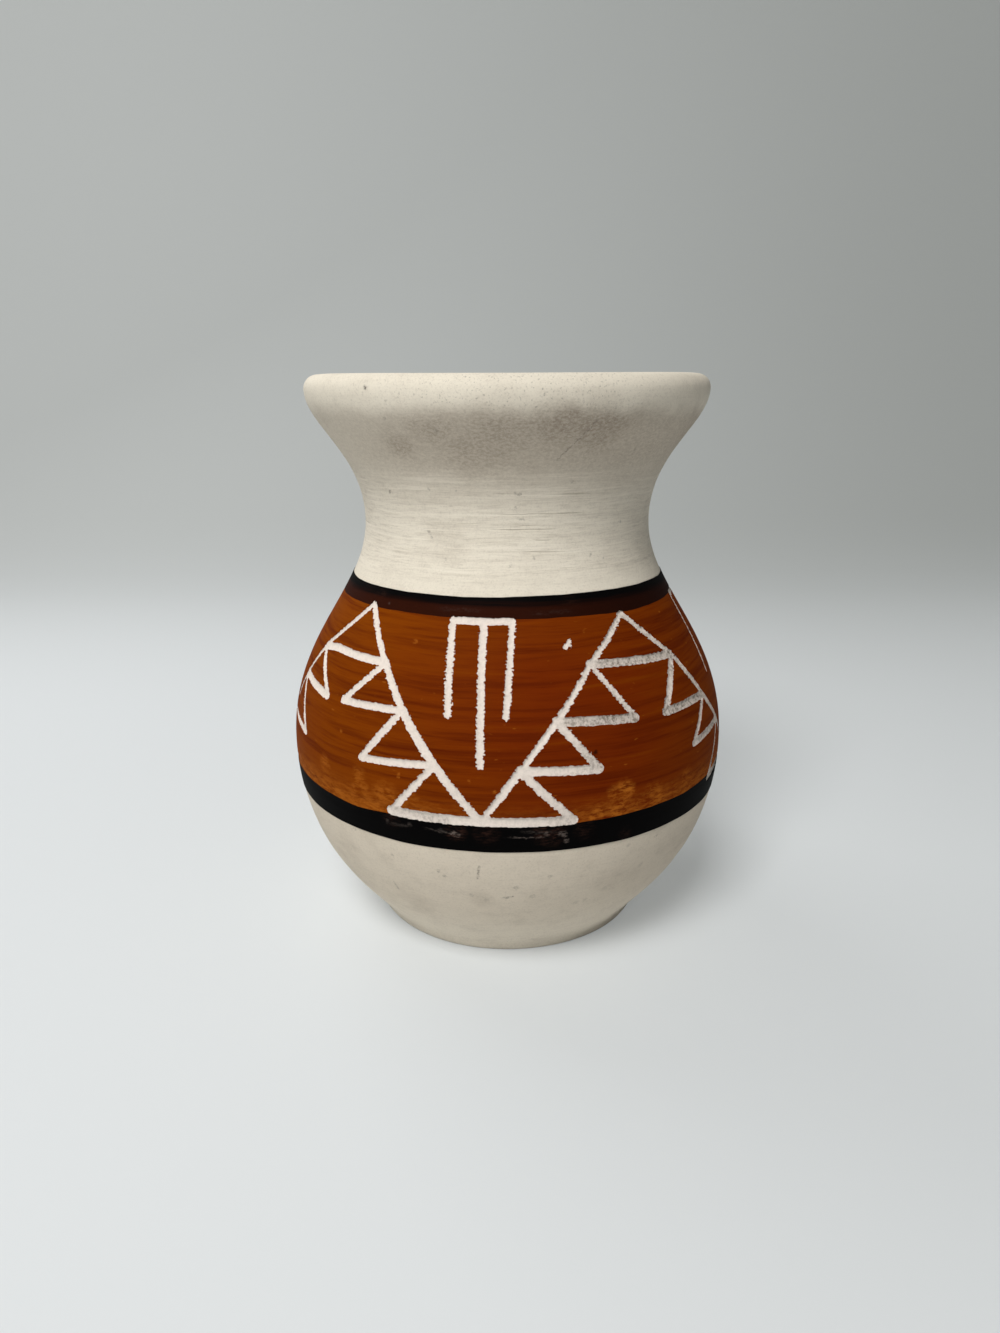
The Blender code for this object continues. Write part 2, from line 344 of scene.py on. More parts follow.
def patternRuns():  # every straight run: two ends as turn and height, and a width
    dice = random.Random(pattern["seed"])
    rightValley, leftValley = sideRightArm["valley"][0], sideLeftArm["valley"][0] + 360
    backRightPeak, backLeftPeak = pattern["backPeaks"]
    farRight = movedArm(frontRightArm, rightValley, backRightPeak, dice)
    backRight = movedArm(frontLeftArm, pattern["backValley"], backRightPeak, dice)
    backLeft = movedArm(frontRightArm, pattern["backValley"], backLeftPeak, dice)
    farLeft = movedArm(frontLeftArm, leftValley, backLeftPeak, dice)
    runs = list(chips)
    seen = [frontLeftArm, frontRightArm, sideRightArm, sideLeftArm]
    for arm in seen + [farRight, backRight, backLeft, farLeft]:
        runs += armRuns(arm)
    for left, right in ((frontLeftArm, frontRightArm), (sideRightArm, farRight), (backRight, backLeft)):
        runs += baseRuns(left["tips"][0], right["tips"][0])
    nearTurn, nearHeight = sideLeftArm["tips"][0]
    runs += baseRuns(farLeft["tips"][0], (nearTurn + 360, nearHeight))
    for left, right in ((frontRightArm, sideRightArm), (farRight, backRight), (backLeft, farLeft)):
        runs.append((left["rows"][2], right["rows"][2], pattern["barWidth"]))
    for end in (sideLeftArm["rows"][2], frontLeftArm["rows"][2]):
        runs.append((end, pattern["barSag"], pattern["barWidth"]))
    for turn, swing in pattern["combs"]:
        runs += combRuns(turn, swing)
    return runs


def unrolled(point):  # radians round the pot and metres up the wall
    return math.radians(point[0]), float(lengthAt(point[1]))


lineSegments = [(*unrolled(start), *unrolled(end), width / 2) for start, end, width in patternRuns()]
print("pattern:", len(lineSegments), "straight runs")


def strokeDistance(turn, height):  # to the nearest line's edge, below zero inside it, and its steepness
    radius = radiusAt(height)
    length = lengthAt(height)
    nearest = np.full(len(turn), 1.0)
    steepness = np.zeros(len(turn))
    for startTurn, startLength, endTurn, endLength, halfWidth in lineSegments:
        middle = (startTurn + endTurn) / 2
        away = apart(turn, middle)
        startAcross = (startTurn - middle - away) * radius
        endAcross = (endTurn - middle - away) * radius
        startUp = startLength - length
        runAcross = endAcross - startAcross
        runUp = endLength - startLength
        share = -(startAcross * runAcross + startUp * runUp) / (runAcross ** 2 + runUp ** 2)
        share = np.clip(share, 0, 1)
        gap = np.hypot(startAcross + share * runAcross, startUp + share * runUp) - halfWidth
        closer = gap < nearest
        nearest[closer] = gap[closer]
        steepness[closer] = (abs(runUp) / np.hypot(runAcross, runUp))[closer]
    return nearest, steepness


# The skin: spun once, finer along the lines.
# The clay uses it whole, and the coats are cut from it along the ragged lines.

skin = {
    "footStep": 0.0035,
    "lowerStep": 0.0012,
    "coatStep": 0.0014,
    "neckStep": 0.001,
    "lipStep": 0.0006,
    "insideStep": 0.006,
    "nearReach": (0.0013, 0.00068, 0.00034),  # it is halved this close to a line's edge, each in turn
    "ragStreaks": (0.00056, (1500, 1500, 4300)),  # slip breaks off along the brush streaks
    "ragGrain": (0.0001, (4500, 4500, 4500)),
    "ragDrift": (0.00008, (200, 200, 200)),
    "ragReach": 0.0012,  # how far from a line's edge it can be ragged
    "levelShare": 0.35,  # how much of the streaks a level stroke takes
    "snap": 0.00004,  # a point this close to an edge counts as on it
    "margin": 0.002,  # the skin of the coats reaches this far past the stripes
}


def skinOutline():
    outside = outsideLine()
    lipOut, lipIn = pot["lipRounds"]
    lipTop = pot["height"]
    outerCentre = (pot["lipRadius"] - lipOut, lipTop - lipOut)
    innerCentre = (pot["lipRadius"] - pot["lipWidth"] + lipIn, lipTop - lipIn)
    footFlat = pot["footRadius"] - pot["footRound"]
    stops = [pot["footRound"], *stripes["edges"], lipTop - lipOut]
    steps = [skin["lowerStep"], *[skin["coatStep"]] * 3, skin["neckStep"]]
    outline = evenly([(0, 0), (footFlat, 0)], skin["footStep"])
    outline += roundLine((footFlat, pot["footRound"]), pot["footRound"], -90, 0)[1::4]
    for low, high, step in zip(stops, stops[1:], steps):
        between = [(r, z) for r, z in outside if low < z < high]
        run = [(float(radiusAt(low)), low), *between, (float(radiusAt(high)), high)]
        outline += evenly(run, step)[1:]
    outline += evenly(roundLine(outerCentre, lipOut, 0, 90), skin["lipStep"])[1:]
    outline += evenly(roundLine(innerCentre, lipIn, 90, 180), skin["lipStep"])
    outline += evenly(insideLine()[::-1], skin["insideStep"])[1:]
    return outline


def drawnLine(points):  # a mesh of one line
    bm = bmesh.new()
    verts = [bm.verts.new(p) for p in points]
    for pair in zip(verts, verts[1:]):
        bm.edges.new(pair)
    return bm


def inOrder(bm):  # the same mesh built anew, because spin leaves its parts in another order each run
    bm.verts.index_update()
    coords = coordsOf(bm)
    order = np.lexsort(coords.round(9).T)
    places = np.argsort(order).tolist()
    rings = []
    for face in bm.faces:
        ring = [places[v.index] for v in face.verts]
        first = ring.index(min(ring))
        rings.append(ring[first:] + ring[:first])
    bm.free()
    again = bmesh.new()
    verts = [again.verts.new(place) for place in coords[order]]
    for ring in sorted(rings):
        again.faces.new([verts[i] for i in ring])
    again.verts.index_update()
    return again


def spunShape(outline, columns):
    bm = drawnLine([(0, -radius, height) for radius, height in outline])
    line = bm.verts[:] + bm.edges[:]
    bmesh.ops.spin(bm, geom=line, axis=(0, 0, 1), angle=math.tau, steps=columns, use_merge=True)
    bmesh.ops.remove_doubles(bm, verts=bm.verts, dist=1e-6)
    bmesh.ops.recalc_face_normals(bm, faces=bm.faces)
    return inOrder(bm)


def onOutside(radius, height):
    return radius > radiusAt(height) - pot["wall"] / 2


def inReach(radius, height):  # the stretch of outer wall that the strokes can reach
    low, high = lowerBottom - skin["margin"], upperTop + skin["margin"]
    return (height > low) & (height < high) & onOutside(radius, height)


def halveNear(bm, reach):
    turn, radius, height = polarOf(coordsOf(bm))
    near = inReach(radius, height)
    near[near] = np.abs(strokeDistance(turn[near], height[near])[0]) < reach
    faces = {f for f in bm.faces if any(near[v.index] for v in f.verts)}
    edges = [e for e in bm.edges if any(f in faces for f in e.link_faces)]
    bmesh.ops.subdivide_edges(bm, edges=edges, cuts=1, use_grid_fill=True)
    bm.verts.index_update()
    coords = coordsOf(bm)
    turn, radius, height = polarOf(coords)
    outer = inReach(radius, height)
    coords[outer] = fromPolar(turn[outer], radiusAt(height[outer]), height[outer])
    moveTo(bm, coords)


def raggedDistance(coords):
    turn, radius, height = polarOf(coords)
    distance, steepness = strokeDistance(turn, height)
    near = np.abs(distance) < skin["ragReach"]
    for name in ("ragStreaks", "ragGrain", "ragDrift"):
        rag = noiseAt(coords[near], *skin[name])
        if name == "ragStreaks":
            rag *= skin["levelShare"] + (1 - skin["levelShare"]) * steepness[near]
        distance[near] += rag
    distance[np.abs(distance) < skin["snap"]] = 0
    return distance


def cutLines(bm):  # splits the skin along the lines' edges and keeps each point's distance in a layer
    layer = bm.verts.layers.float.new("lineDistance")
    for vert, value in zip(bm.verts, raggedDistance(coordsOf(bm))):
        vert[layer] = value
    crossing = [e for e in bm.edges if e.verts[0][layer] * e.verts[1][layer] < 0]
    split = bmesh.ops.bisect_edges(bm, edges=crossing, cuts=1)
    corners = [g for g in split["geom_split"] if isinstance(g, bmesh.types.BMVert)]
    for vert in corners:
        start, end = sorted([e.other_vert(vert) for e in vert.link_edges], key=lambda v: v[layer])
        share = start[layer] / (start[layer] - end[layer])
        vert.co = start.co.lerp(end.co, share)
    for vert in corners:
        vert[layer] = 0
    onEdge = [v for v in bm.verts if v[layer] == 0]
    bmesh.ops.connect_verts(bm, verts=onEdge)
    bm.verts.index_update()


def makeSkins():
    bm = spunShape(skinOutline(), pot["columns"])
    coords = coordsOf(bm)
    turn, radius, height = polarOf(coords)
    outer = onOutside(radius, height)
    wavered = waverRows(turn[outer], height[outer])
    shift = radiusAt(wavered) - radiusAt(height[outer])
    coords[outer] = fromPolar(turn[outer], radius[outer] + shift, wavered)
    moveTo(bm, coords)
    *both, coatsOnly = skin["nearReach"]
    for reach in both:
        halveNear(bm, reach)
    forClay = bm.copy()
    turn, radius, height = polarOf(coordsOf(bm))
    kept = inReach(radius, height)
    away = [f for f in bm.faces if not all(kept[v.index] for v in f.verts)]
    bmesh.ops.delete(bm, geom=away, context="FACES")
    bm.verts.index_update()
    halveNear(bm, coatsOnly)
    cutLines(bm)
    return forClay, bm


claySkin, coatSkin = makeSkins()
print("skin:", len(claySkin.faces), "faces for the clay,", len(coatSkin.faces), "for the coats")


# Hand marks: the wheel leaves rings, the trimming tool leaves flats, and the pot isn't quite round

hand = {
    "lobes": ((2, 0.0001, 0.6), (3, 0.00007, 2.1), (5, 0.00003, 4.0)),
    "leanWithHeight": 9.0,  # radians a lobe turns in a metre of height
    "rings": (0.000045, (14, 14, 720)),
    "ringShare": 0.25,  # how much of the rings shows below the neck
    "neckFade": 0.004,  # the neck's rings begin over this height above the stripes
    "lipFrom": (0.108, 0.122),
    "lipEase": 0.7,  # how much of the rings the lip loses
    "flats": (0.00022, (55, 55, 80)),
    "flatsTop": 0.02,  # flats fade from here up to the stripes
    "flatsFoot": 0.006,
    "axisReach": 0.01,  # marks die away within this of the axis
    "lipSag": 0.00045,  # the lip is a little low in front and behind, and high at the sides
    "dents": (  # shallow tool strokes low down: turn, height, half length, lean in degrees, depth
        (-41.5, 0.0264, 0.0052, -39, 0.00024), (-30, 0.0136, 0.0048, -27, 0.00022),
        (58, 0.0205, 0.0055, -34, 0.00022), (104, 0.0262, 0.005, -30, 0.0002),
        (150, 0.0148, 0.0055, -22, 0.00022), (208, 0.024, 0.006, -36, 0.00024),
        (262, 0.0182, 0.005, -28, 0.0002),
    ),
    "dentWidth": 0.0012,
}


def handThrown(coords, marked):  # marked: 1 where the outside takes rings and flats
    turn, radius, height = polarOf(coords)
    out = np.zeros(len(coords))
    for lobes, size, start in hand["lobes"]:
        out += size * np.sin(lobes * turn + start + hand["leanWithHeight"] * height)
    lip = smoothStep(height, *hand["lipFrom"])
    neck = smoothStep(height, upperTop, upperTop + hand["neckFade"]) * (1 - hand["lipEase"] * lip)
    lower = 1 - smoothStep(height, hand["flatsTop"], lowerBottom)
    lower *= smoothStep(height, pot["footRound"], hand["flatsFoot"])
    rings = noiseAt(coords, *hand["rings"]) * (hand["ringShare"] + (1 - hand["ringShare"]) * neck)
    flats = noiseAt(coords, *hand["flats"]) * lower
    dents = np.zeros(len(coords))
    for middle, level, reach, lean, depth in hand["dents"]:
        across = apart(turn, math.radians(middle)) * radius
        up = height - level
        slope = math.radians(lean)
        along = (across * math.cos(slope) + up * math.sin(slope)) / reach
        aside = (up * math.cos(slope) - across * math.sin(slope)) / hand["dentWidth"]
        dents += depth * np.exp(-along ** 2 - aside ** 2)
    out += marked * (rings + flats - dents)
    grown = radius + out * np.clip(radius / hand["axisReach"], 0, 1)
    return fromPolar(turn, grown, height - hand["lipSag"] * np.cos(2 * turn) * lip)


def onSurface(turn, height):  # a point of the finished outside, from degrees and metres
    place = fromPolar(np.radians([turn]), radiusAt([height]), np.array([height]))
    return Vector(handThrown(place, np.ones(1))[0])


def regionOf(bm):  # each face's coat, 1 lower, 2 rust, 3 upper or 0 none, and whether a line takes it
    layer = bm.verts.layers.float["lineDistance"]
    turn, radius, height = polarOf(np.array([f.calc_center_median() for f in bm.faces]))
    edges = [edge + stray for edge, stray in zip(stripes["edges"], edgeWaver(turn))]
    region = np.zeros(len(turn), int)
    for i in range(3):
        region[(height > edges[i]) & (height < edges[i + 1])] = i + 1
    scratched = np.array([min(v[layer] for v in f.verts) < 0 for f in bm.faces])
    return region, scratched


def placed(name, data):  # a new object in the scene
    made = bpy.data.objects.new(name, data)
    scene.collection.objects.link(made)
    return made


def meshObject(name, bm, sharpAngle):
    bmesh.ops.recalc_face_normals(bm, faces=bm.faces)
    mesh = bpy.data.meshes.new(name)
    bm.to_mesh(mesh)
    bm.free()
    mesh.shade_smooth()
    mesh.set_sharp_from_angle(angle=math.radians(sharpAngle))
    return placed(name, mesh)


def dressPiece(piece, node, material):
    piece.data.materials.append(material)
    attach(piece, "root")
    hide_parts(node)
    print(piece.name + ":", len(piece.data.polygons), "faces")


# Shader maths on wrapped sockets

markCore = 0.3  # share of a mark's reach that has its full strength
ringFade = 0.3  # share of a ring's length that each end fades over


def feed(node, inputs):  # links and plain values
    for key, value in inputs.items():
        if isinstance(value, Link):
            value.tree.links.new(value.socket, node.inputs[key])
        else:
            node.inputs[key].default_value = value


class Link:
    def __init__(self, tree, socket):
        self.tree = tree
        self.socket = socket

    def node(self, kind, inputs, settings=None, output=0):
        made = self.tree.nodes.new("ShaderNode" + kind)
        for key, value in (settings or {}).items():
            setattr(made, key, value)
        feed(made, inputs)
        return Link(self.tree, made.outputs[output])

    def maths(self, operation, *values):
        return self.node("Math", dict(enumerate(values)), {"operation": operation})

    def vector(self, operation, inputs, output=0):
        return self.node("VectorMath", inputs, {"operation": operation}, output)

    def __add__(self, other):
        return self.maths("ADD", self, other)

    def __sub__(self, other):
        return self.maths("SUBTRACT", self, other)

    def __rsub__(self, other):
        return self.maths("SUBTRACT", other, self)

    def __mul__(self, other):
        return self.maths("MULTIPLY", self, other)

    __radd__ = __add__
    __rmul__ = __mul__

    def axis(self, index):  # one coordinate of a place
        return self.node("SeparateXYZ", {0: self}, output=index)

    def noise(self, scale, stretch=(1, 1, 1), detail=2.0, roughness=0.5, offset=(0, 0, 0)):
        placed = self.node("Mapping", {"Vector": self, "Location": offset, "Scale": stretch})
        inputs = {"Vector": placed, "Scale": scale, "Detail": detail, "Roughness": roughness}
        return self.node("TexNoise", inputs)

    def jittered(self, amount, scale):  # the same place, pushed about by noise
        inputs = {"Vector": self, "Scale": scale, "Detail": 2.0}
        push = self.node("TexNoise", inputs, output="Color")
        push = self.vector("SUBTRACT", {0: push, 1: (0.5, 0.5, 0.5)})
        push = self.vector("SCALE", {0: push, "Scale": amount})
        return self.vector("ADD", {0: self, 1: push})

    def step(self, low, high):  # 0 at low, 1 at high, smooth between
        inputs = {"Value": self, "From Min": low, "From Max": high}
        return self.node("MapRange", inputs, {"interpolation_type": "SMOOTHSTEP"})

    def hill(self, low, peak, high):  # 0 outside low and high, 1 at the peak
        return self.step(low, peak) * self.step(high, peak)

    def blend(self, first, second):  # this value mixes two colours
        return self.node("Mix", {0: self, 6: first, 7: second}, {"data_type": "RGBA"}, 2)

    def most(self, other):
        return self.maths("MAXIMUM", self, other)

    def nearLine(self, start, end, inner, outer):  # 1 within inner of a straight line, 0 past outer
        run = end - start
        away = self.vector("SUBTRACT", {0: self, 1: start})
        along = self.vector("DOT_PRODUCT", {0: away, 1: run / run.length_squared}, 1)
        share = self.node("Clamp", {0: along})
        foot = self.vector("SCALE", {0: run, "Scale": share})
        return self.vector("DISTANCE", {0: away, 1: foot}, 1).step(outer, inner)

    def near(self, centre, inner, outer):  # the same for a point
        return self.vector("DISTANCE", {0: self, 1: centre}, 1).step(outer, inner)

    def marks(self, spots, strokes=()):  # the strongest of many marks on the outside
        found = []
        for turn, height, reach, strength in spots:
            found.append(self.near(onSurface(turn, height), markCore * reach, reach) * strength)
        for *ends, reach, strength in strokes:
            start, end = onSurface(*ends[:2]), onSurface(*ends[2:])
            found.append(self.nearLine(start, end, markCore * reach, reach) * strength)
        return reduce(Link.most, found)

    def rings(self, lines):  # the strongest of many lines that run round the outside
        turn = self.maths("ARCTAN2", self.axis(0), self.axis(1) * -1)
        height = self.axis(2)
        found = []
        for firstTurn, firstHeight, lastTurn, lastHeight, reach, strength in lines:
            first, last = math.radians(firstTurn), math.radians(lastTurn)
            slope = (lastHeight - firstHeight) / (last - first)
            off = height - turn * slope - (firstHeight - slope * first)
            fade = ringFade * (last - first)
            across = turn.step(first, first + fade) * turn.step(last, last - fade)
            found.append(off.hill(-reach, 0, reach) * across * strength)
        return reduce(Link.most, found)

    def bump(self, strength, distance):
        return self.node("Bump", {"Strength": strength, "Distance": distance, "Height": self})


def newFinish(name):
    material = bpy.data.materials.new(name)
    material.use_nodes = True
    tree = material.node_tree
    shader = tree.nodes["Principled BSDF"]
    coords = tree.nodes.new("ShaderNodeTexCoord")
    return material, shader, Link(tree, coords.outputs["Object"])


def rgb(red, green, blue):  # a linear colour from the 0 to 255 values that a screen shows
    return tuple(((c / 255 + 0.055) / 1.055) ** 2.4 for c in (red, green, blue)) + (1,)


# Bare clay: cream on the neck and lip, greyer below, white in the scratched lines

clay = {
    "lineDepth": 0.00028,
    "lineShoulder": 0.0005,  # the groove reaches its depth this far in from its edge
    "lineGrain": (0.00006, (900, 900, 900)),
    "cream": rgb(230, 221, 203),
    "bare": rgb(219, 207, 188),
    "litPale": rgb(240, 231, 214),
    "grimeAndShade": rgb(150, 136, 120),
    "mark": rgb(88, 79, 73),
    "line": rgb(236, 224, 212),
    "lineDirtAndShade": rgb(138, 127, 115),
    "roughness": 0.86,
    "creamFrom": (0.034, 0.08),  # heights that a look fades over, like the next seven
    "bounceLightTo": (0.02, 0.002),
    "lipFrom": (0.118, 0.1218),
    "shadeUnderLip": (0.0985, 0.113),
    "neckFrom": (0.0845, 0.088),
    "neckTo": (0.103, 0.111),
    "stainsAndShadeTo": (0.028, 0.034),
    "underside": (0.0005, 0.0001),
    "bandFade": (0.0015, 0.0005),  # the lines' white begins this far inside the stripes
    "shadeEasesLeft": (-0.037, -0.01),  # places across that a look fades over, like the next two
    "lowerShadeRight": (0.012, 0.042),
    "lineShadeRight": (0.004, 0.03),
    "rimFront": (4, 0.124),  # turn and height
    "rimReach": (0.008, 0.034),
    "pits": (  # turn, height, reach, strength
        (-36.4, 0.1244, 0.00075, 1.0), (-30.6, 0.1219, 0.00045, 0.7), (-32.4, 0.1187, 0.00055, 0.35),
        (-18.7, 0.1166, 0.0007, 0.35), (-45.4, 0.1037, 0.0006, 0.5), (-27.1, 0.1047, 0.00045, 0.4),
        (-17.3, 0.1045, 0.00045, 0.4), (45.8, 0.0972, 0.0006, 0.4), (40.8, 0.1123, 0.00055, 0.3),
        (-17, 0.0284, 0.0007, 0.5), (-15.6, 0.0272, 0.00065, 0.35), (9.8, 0.0278, 0.0008, 0.3),
        (1.7, 0.0251, 0.00085, 0.35), (5.9, 0.0223, 0.00085, 0.3), (-29.1, 0.0301, 0.0006, 0.25),
        (18.2, 0.0184, 0.0011, 0.2), (35.7, 0.0253, 0.001, 0.2), (38.4, 0.0322, 0.00065, 0.3),
        (2.5, 0.1012, 0.00045, 0.4), (4.5, 0.0989, 0.00045, 0.4), (30.6, 0.091, 0.00055, 0.4),
        (36, 0.0899, 0.00045, 0.35), (9.1, 0.091, 0.00045, 0.3), (0.9, 0.0896, 0.00055, 0.3),
        (21.1, 0.1062, 0.0005, 0.35), (10.1, 0.1014, 0.00045, 0.25), (-22, 0.0905, 0.0005, 0.25),
        (29.5, 0.0324, 0.0009, 0.2), (25.8, 0.0212, 0.0009, 0.2), (-9.5, 0.0225, 0.0009, 0.22),
        (-5.9, 0.0213, 0.001, 0.2), (20.9, 0.0188, 0.0008, 0.2), (-40.2, 0.0339, 0.0007, 0.3),
    ),
    "grooves": (  # lines that the tool left round the neck, in rows like the scratches
        (-4.5, 0.0998, 33, 0.0996, 0.00024, 1.0), (-7, 0.0968, 20.5, 0.0966, 0.00022, 0.9),
        (6.5, 0.0922, 23.5, 0.0919, 0.0002, 0.9), (12, 0.1036, 36, 0.1034, 0.00024, 0.9),
        (-5, 0.1042, 4.5, 0.1041, 0.00018, 0.6), (4.5, 0.0975, 13.5, 0.0974, 0.00018, 0.7),
        (10, 0.0945, 18, 0.0944, 0.0002, 0.7), (19, 0.0888, 27, 0.0886, 0.00018, 0.5),
        (-18, 0.0889, -5, 0.0891, 0.00018, 0.5), (-17, 0.0979, -7.5, 0.098, 0.00018, 0.5),
        (75, 0.0985, 112, 0.0984, 0.00024, 0.9), (128, 0.0931, 160, 0.0932, 0.00022, 0.8),
        (-178, 0.1012, -146, 0.101, 0.00024, 0.9), (-155, 0.0902, -120, 0.0903, 0.0002, 0.7),
        (-98, 0.0962, -60, 0.096, 0.00022, 0.8),
    ),
    "scratches": (  # turn and height of the start and of the end, reach, strength
        (21.9, 0.1174, 14.6, 0.1108, 0.00028, 0.45), (22.6, 0.1184, 20.6, 0.1162, 0.0005, 0.3),
        (2.2, 0.1041, 4, 0.1039, 0.0005, 0.4), (3.4, 0.099, 5.4, 0.0988, 0.0004, 0.35),
        (-29.2, 0.096, -28, 0.0948, 0.0005, 0.35), (-6.9, 0.0306, -7.5, 0.0274, 0.0004, 0.55),
        (-1, 0.0221, 0.8, 0.0224, 0.0005, 0.55), (-31.8, 0.0218, -31.3, 0.0197, 0.00045, 0.3),
    ),
    "lineStains": (  # runs of the pattern that hold more dirt
        (14, 0.0608, 31.5, 0.0598, 0.0018, 0.6), (25, 0.0704, 51, 0.0694, 0.0018, 0.45),
        (42, 0.0594, 61, 0.0593, 0.0018, 0.35), (-26, 0.0413, 14, 0.0411, 0.002, 0.2),
        (-27, 0.0418, -14, 0.041, 0.0012, 0.42), (17, 0.056, 20.5, 0.0515, 0.0016, 0.4),
    ),
    "smudges": (  # broad grey rubs under the lip, down the neck and low on the belly
        (-32.5, 0.1132, 0.0048, 0.26), (-20, 0.1176, 0.007, 0.14), (-1, 0.1184, 0.009, 0.17),
        (12, 0.1188, 0.0085, 0.26), (24, 0.1184, 0.0085, 0.26), (-9, 0.1118, 0.01, 0.13),
        (-22, 0.0945, 0.0065, 0.15), (-6, 0.0211, 0.0042, 0.2), (30, 0.023, 0.007, 0.12),
        (-45, 0.027, 0.005, 0.16), (-26, 0.014, 0.004, 0.18),
    ),
}


def clayFinish():
    material, shader, place = newFinish("bareClay")
    across, height = place.axis(0), place.axis(2)
    loose = place.jittered(0.0009, 1300)
    wander = height + 0.006 * (place.noise(75, detail=5.0, roughness=0.65) - 0.5)
    grain = place.noise(2300, detail=3.0, roughness=0.7)
    mottle = place.noise(140, detail=6.0, roughness=0.72)
    dust = place.noise(1, (1300, 1300, 2300), 5.0, 0.75, (2, 5, 0)).step(0.34, 0.66)
    colour = height.step(*clay["creamFrom"]).blend(clay["bare"], clay["cream"])
    # painted light: paler low down, where the floor's bounce lights the foot
    colour = (height.step(*clay["bounceLightTo"]) * 0.6).blend(colour, clay["litPale"])
    aged = mottle.step(0.44, 0.74) * 0.14 + grain.step(0.48, 0.7) * 0.18
    colour = aged.blend(colour, clay["grimeAndShade"])

    # painted shade under the overhanging lip, with grey rubs from handling over it
    lip = wander.step(*clay["lipFrom"])
    underLipShade = wander.step(*clay["shadeUnderLip"]) * (1 - lip)
    # the painted shade eases towards the left, where the light falls
    underLipShade = underLipShade * (0.52 + 0.48 * across.step(*clay["shadeEasesLeft"]))
    cloudy = place.noise(45, detail=3.0, offset=(1, 0, 6))
    smudge = place.jittered(0.006, 150).marks(clay["smudges"])
    grimeAndShade = underLipShade * (0.26 + 0.3 * cloudy + 0.26 * dust) + smudge * (0.4 + 0.6 * dust)
    colour = grimeAndShade.blend(colour, clay["grimeAndShade"])

    # brush lines on the neck, and painted shade in the tool grooves round it
    slanted = place.node("Mapping", {"Vector": place, "Rotation": (0, 0.012, 0)})
    brushed = slanted.jittered(0.0005, 150)
    fibres = brushed.noise(1, (260, 260, 2900), 5.0, 0.7)
    strokes = brushed.noise(1, (48, 48, 1350), 3.0, 0.6, (3, 3, 0))
    neck = height.step(*clay["neckFrom"]) * (1 - wander.step(*clay["neckTo"]))
    lined = fibres.step(0.54, 0.34) * (0.06 + 0.15 * neck)
    lined = lined + strokes.step(0.5, 0.32) * (0.03 + 0.1 * neck)
    grooves = slanted.jittered(0.0007, 110).rings(clay["grooves"])
    grooves = grooves * (0.45 + 0.55 * mottle.step(0.38, 0.56))
    # the grooves' share here is painted shade in the recess
    colour = lined.most(grooves * 0.5).blend(colour, clay["grimeAndShade"])
    # painted highlight along the raised brush strokes
    colour = (strokes.step(0.52, 0.7) * neck * 0.5).blend(colour, clay["litPale"])

    # specks, most of them on the front of the lip, stains below with painted shade on the lower right,
    # and single marks
    rim = place.near(onSurface(*clay["rimFront"]), *clay["rimReach"]) * lip
    speck = place.noise(2500, detail=1.0, offset=(3, 1, 2)).step(0.6, 0.76)
    speck = speck * (0.05 + 0.08 * lip + 0.26 * rim)
    low = 1 - height.step(*clay["stainsAndShadeTo"])
    blotch = place.noise(1, (85, 85, 210), 6.0, 0.74, (8, 1, 4)).step(0.48, 0.8)
    wire = place.jittered(0.004, 40).noise(1, (60, 900, 0), 3.0, 0.6).step(0.42, 0.58)
    # painted shade: the low wall darkens towards the right side
    stainAndShade = low * (blotch * 0.26 + 0.14 * across.step(*clay["lowerShadeRight"]))
    stainAndShade = stainAndShade.most(height.step(*clay["underside"]) * wire * 0.5)
    colour = stainAndShade.blend(colour, clay["grimeAndShade"])
    mark = loose.marks(clay["pits"], clay["scratches"]) * (0.25 + 0.75 * grain.step(0.4, 0.58))
    colour = speck.most(mark).blend(colour, clay["mark"])

    # the scratched lines, with dirt in their grain and in some runs, and painted shade that greys them
    # towards the right
    inner, outer = clay["bandFade"]
    band = height.step(lowerBottom + outer, lowerBottom + inner)
    band = band * height.step(upperTop - outer, upperTop - inner)
    rough = place.noise(1300, detail=4.0, roughness=0.75, offset=(7, 2, 0)).step(0.42, 0.66)
    patch = place.noise(210, detail=3.0, offset=(4, 4, 2)).step(0.4, 0.62)
    right = across.step(*clay["lineShadeRight"])
    held = loose.marks((), clay["lineStains"]) * (0.45 + 0.55 * rough)
    # the shares that grow towards the right are painted shade
    dirtAndShade = rough * (0.16 + 0.2 * right + 0.4 * patch * right) + 0.1 * right + held
    colour = band.blend(colour, dirtAndShade.blend(clay["line"], clay["lineDirtAndShade"]))

    relief = fibres * (0.25 + 0.8 * neck) + strokes * (0.2 + 1.0 * neck) + grain * 0.4
    relief = relief - grooves * 2.2 - speck * 0.8 - mark * 1.5
    feed(shader, {
        "Base Color": colour,
        "Roughness": clay["roughness"],
        "Specular IOR Level": 0.15,
        "Normal": relief.bump(0.4, 0.00014),
    })
    return material


def clayBody():
    bm = claySkin
    coords = coordsOf(bm)
    turn, radius, height = polarOf(coords)
    depth = np.zeros(len(coords))
    reached = inReach(radius, height)
    distance = raggedDistance(coords[reached])
    grain = noiseAt(coords[reached], *clay["lineGrain"])
    depth[reached] = (clay["lineDepth"] + grain) * smoothStep(-distance, 0, clay["lineShoulder"])
    coords = handThrown(coords, onOutside(radius, height).astype(float))
    turn, radius, height = polarOf(coords)
    moveTo(bm, fromPolar(turn, radius - depth, height))
    piece = meshObject("clay_body_thrown", bm, sharpAngle=60)
    dressPiece(piece, "clay_body", clayFinish())


# Slip coats: thin shells cut from the same skin, open where the lines are scratched through

